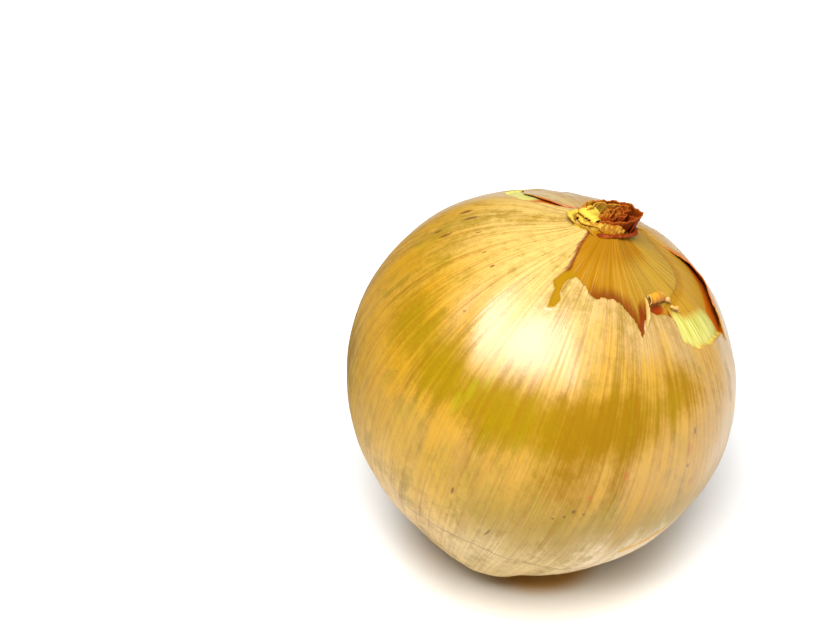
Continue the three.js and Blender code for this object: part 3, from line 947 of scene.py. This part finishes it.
    # Painted shade in the small hollow, over the dark red of the skin beneath
    colour = over(colour, "hollow", inHollow.rise(0.15, 0.6))
    height = hairs * 0.00006 + mottle * 0.00006 + grain * 0.000014
    # A waxy shine on the outer skin, less where it clings, at the bottom, at the left and on the torn places
    leftSide = turn.size().rise(2.4, 2.85)
    wax = 0.41 + hairs * 0.5 + streaks * 0.5 + grain * 0.4
    wax = wax * (1 - bare) * (1 - clingShadeShare) * (1 - polar.rise(0.7, 0.95) * 0.6) * (1 - leftSide * 0.8)
    rough = uneven(skinLook["roughness"], grain=0.14) + leftSide * 0.24
    paint.constant("Specular IOR Level", skinLook["shine"])
    paint.constant("Coat Roughness", skinLook["waxRoughness"])
    paint.constant("Coat IOR", skinLook["waxIndex"])
    return paint.finish(Base_Color=colour, Roughness=rough, Coat_Weight=wax.clamped(),
                        Normal=paint.relief(height))


def makeInsidePaint():
    paint = newPaint("skinInside")
    streaks = paint.noise(paint.scaled(paint.attribute("around"), (60, 60, 3)), detail=3)
    dark = tuple(0.45 * part for part in skinLook["inside"])
    colour = paint.mix(dark, skinLook["inside"], streaks.rise(0.3, 0.7))
    return paint.finish(Base_Color=colour, Roughness=0.5, Normal=paint.relief(streaks * 0.00008))


curlLook = {
    "orange": (0.50, 0.24, 0.012),
    "deep": (0.28, 0.07, 0.003),
    "pale": (0.58, 0.38, 0.13),
    "roughness": 0.45,
    "shine": 0.2,
}


def makeCurlPaint():
    paint = newPaint("curledSkin")
    around = paint.attribute("around")
    pale, along, rim = paint.split(paint.attribute("leaf"))
    streaks = paint.noise(paint.scaled(around, (40, 40, 14)), detail=3)
    fine = paint.noise(paint.place(), 1500, detail=2)
    colour = paint.mix(curlLook["deep"], curlLook["orange"], (along + (streaks - 0.5) * 1.2).rise(0.1, 0.7))
    lightened = pale + (fine - 0.5) * 0.5 + (rim + (fine - 0.5) * 0.1).rise(0.16, 0.03)
    colour = paint.mix(colour, curlLook["pale"], lightened.clamped())
    paint.constant("Specular IOR Level", curlLook["shine"])
    return paint.finish(Base_Color=colour, Roughness=curlLook["roughness"],
                        Normal=paint.relief(streaks * 0.00008))


neckLook = {
    "gold": (0.61, 0.43, 0.05),
    "brown": (0.31, 0.072, 0.004),
    "maroon": (0.155, 0.019, 0.002),
    "roughness": 0.45,
    "shine": 0.08,
}


def makeNeckPaint():
    paint = newPaint("driedNeck")
    around = paint.attribute("around")
    tone, along, _ = paint.split(paint.attribute("leaf"))
    streaks = paint.noise(paint.scaled(around, (9, 9, 1.5)), detail=4, roughness=0.65)
    fine = paint.noise(paint.scaled(around, (45, 45, 2)), detail=3)
    blotch = paint.noise(paint.place(), 700, detail=3)
    # Darker low down on the dark leaves: the last term is painted shade in the depths between the leaves
    shade = tone + (streaks - 0.5) * 0.9 + (blotch - 0.5) * 0.5 + tone * (0.62 - along) * 0.55
    colour = paint.mix(neckLook["gold"], neckLook["brown"], shade.rise(0.15, 0.6))
    colour = paint.mix(colour, neckLook["maroon"], shade.rise(0.5, 0.85))
    colour = paint.mix(colour, neckLook["brown"], (along + (fine - 0.5) * 0.3).rise(0.9, 0.98)
                       * (0.75 - tone * 0.4).clamped())
    height = fine * 0.00006 + streaks * 0.0001 + blotch * 0.00002
    paint.constant("Specular IOR Level", neckLook["shine"])
    return paint.finish(Base_Color=colour, Roughness=neckLook["roughness"] + (fine - 0.5) * 0.2,
                        Normal=paint.relief(height))


rootLook = {
    "dark": (0.035, 0.016, 0.008),
    "brown": (0.16, 0.075, 0.03),
    "pale": (0.42, 0.28, 0.13),
    "roughness": 0.85,
}


def makeRootPaint():
    paint = newPaint("driedRoots")
    place = paint.place()
    broad = paint.noise(place, 260, detail=3)
    fine = paint.noise(place, 1900, detail=3)
    colour = paint.mix(rootLook["dark"], rootLook["brown"], (broad + (fine - 0.5) * 0.4).rise(0.35, 0.62))
    colour = paint.mix(colour, rootLook["pale"], (broad + (fine - 0.5) * 0.5).rise(0.6, 0.75))
    return paint.finish(Base_Color=colour, Roughness=rootLook["roughness"],
                        Normal=paint.relief(fine * 0.00008))


skin = makeSkinPaint()
skinInside = makeInsidePaint()
curlPaint = makeCurlPaint()
neckPaint = makeNeckPaint()
rootPaint = makeRootPaint()
print("paints made")

bulbSkin = grouped(makeBulb(), "bulb_skin")
bulbSkin.data.materials.append(skin)
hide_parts("bulb")
print("bulb made:", len(bulbSkin.data.polygons), "faces")

sheet = makeSheet(looseSheet["columns"], looseSheet["rows"], looseSheetPlace, looseSheet["thickness"],
                  [skin, skinInside], markLooseSheet)
grouped(sheet, "loose_skin_back")
grouped(makeCurls(), "curled_skin_front")
print("loose skin made")

neckLeaves = grouped(makeNeck(), "neck_leaves")
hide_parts("neck")
print("neck made:", len(neckLeaves.data.polygons), "faces")

rootTuft = grouped(makeRoots(), "root_tuft")
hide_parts("roots")
print("roots made:", len(rootTuft.data.polygons), "faces")


# The table, the light and the camera

studio = {
    "distance": 580,
    "pitch": 36,
    "lens": 112,
    "aim": (541.6, 375.0),  # pixels of the 832 x 624 frame at which the bulb's middle shows
    "softBox": {"azimuth": -13, "elevation": 62, "distance": 900, "width": 660, "height": 510, "power": 19},
    "room": {"bright": 0.18, "dim": 0.0, "right": 0.7, "backdrop": 0.92, "dimHeading": -35},
    # The table turns grey, and further off glows, between these distances in metres
    "table": {"white": 0.84, "grey": 0.6, "from": 0.2, "to": 0.45, "glow": 0.8, "glowFrom": 0.35,
              "glowTo": 1.6},
    # Painted shadow and painted warm bounce light on the table under the onion: tint, and where it ends and
    # is full, out from its middle
    "shadowAndBounceMiddle": (0, -10),
    "glow": [((0.66, 0.62, 0.55), 40, 21), ((0.50, 0.28, 0.07), 16, 10)],
}


def makeFloor():
    floor = added(bpy.ops.mesh.primitive_plane_add, size=8)
    floor.name = "table"
    paint = newPaint("paleTable")
    out = paint.node("ShaderNodeVectorMath", {"operation": "LENGTH"}, {0: paint.place()}, "Value")
    table = studio["table"]
    shade = paint.mix((table["white"],) * 3, (table["grey"],) * 3, out.rise(table["from"], table["to"]))
    # Painted shadow and painted warm bounce light of the skin on the table close under it
    middle = (*[part * mm for part in studio["shadowAndBounceMiddle"]], 0)
    close = paint.node("ShaderNodeVectorMath", {"operation": "DISTANCE"},
                       {0: paint.place(), 1: middle}, "Value")
    for tint, start, end in studio["glow"]:
        shade = paint.mix(shade, tint, close.rise(start * mm, end * mm))
    far = out.rise(table["glowFrom"], table["glowTo"])
    paint.constant("Emission Strength", table["glow"])
    floor.data.materials.append(paint.finish(Base_Color=shade, Roughness=0.8,
                                             Emission_Color=paint.mix((0, 0, 0), (1, 1, 1), far)))


# Pale all round, but dim low down in front, where the room shows in the skin's shine
def makeWorld():
    room = studio["room"]
    world = bpy.data.worlds.new("studio")
    bpy.context.scene.world = world
    paint = Paint(world, "Background")
    way = paint.node("ShaderNodeTexCoord")
    heading = math.radians(room["dimHeading"])
    towards = paint.node("ShaderNodeVectorMath", {"operation": "DOT_PRODUCT"},
                         {0: way, 1: (math.sin(heading), -math.cos(heading), 0)}, "Value")
    aside, _, height = paint.split(way)
    dimmed = towards.rise(0.05, 0.7) * height.rise(0.75, 0.35)
    light = dimmed * (room["dim"] - room["bright"]) + room["bright"] + aside.rise(0.1, 0.9) * room["right"]
    seen = paint.node("ShaderNodeLightPath", output="Is Camera Ray")
    strength = paint.node("ShaderNodeMix", None, {0: seen, 2: light, 3: room["backdrop"]})
    paint.finish(Color=(1, 1, 1), Strength=strength)


def makeSoftBox():
    box = studio["softBox"]
    lamp = bpy.data.lights.new("softBox", "AREA")
    lamp.shape = "RECTANGLE"
    lamp.size, lamp.size_y = box["width"] * mm, box["height"] * mm
    lamp.energy = box["power"]
    holder = placed("softBox", lamp)
    side, rise = math.radians(box["azimuth"]), math.radians(box["elevation"])
    outward = Vector((math.sin(side) * math.cos(rise), -math.cos(side) * math.cos(rise), math.sin(rise)))
    holder.location = outward * box["distance"] * mm + Vector((0, 0, middleHeight * mm))
    holder.rotation_euler = outward.to_track_quat("Z", "Y").to_euler()


def makeCamera():
    pitch = math.radians(studio["pitch"])
    focal = studio["lens"] / 36 * 832
    right = Vector((1, 0, 0))
    up = Vector((0, math.sin(pitch), math.cos(pitch)))
    back = Vector((0, -math.cos(pitch), math.sin(pitch)))
    ray = -back + right * ((studio["aim"][0] - 416) / focal) - up * ((studio["aim"][1] - 312) / focal)
    place = Vector((0, 0, middleHeight)) - ray.normalized() * studio["distance"]
    camera = bpy.data.cameras.new("camera")
    camera.lens = studio["lens"]
    camera.sensor_width = 36
    camera.clip_start = 0.01
    holder = placed("camera", camera)
    holder.matrix_world = Matrix.Translation(place * mm) @ Matrix((right, up, back)).transposed().to_4x4()
    bpy.context.scene.camera = holder


makeFloor()
makeWorld()
makeSoftBox()
makeCamera()
bpy.context.scene.view_settings.view_transform = "Standard"
print("studio made")
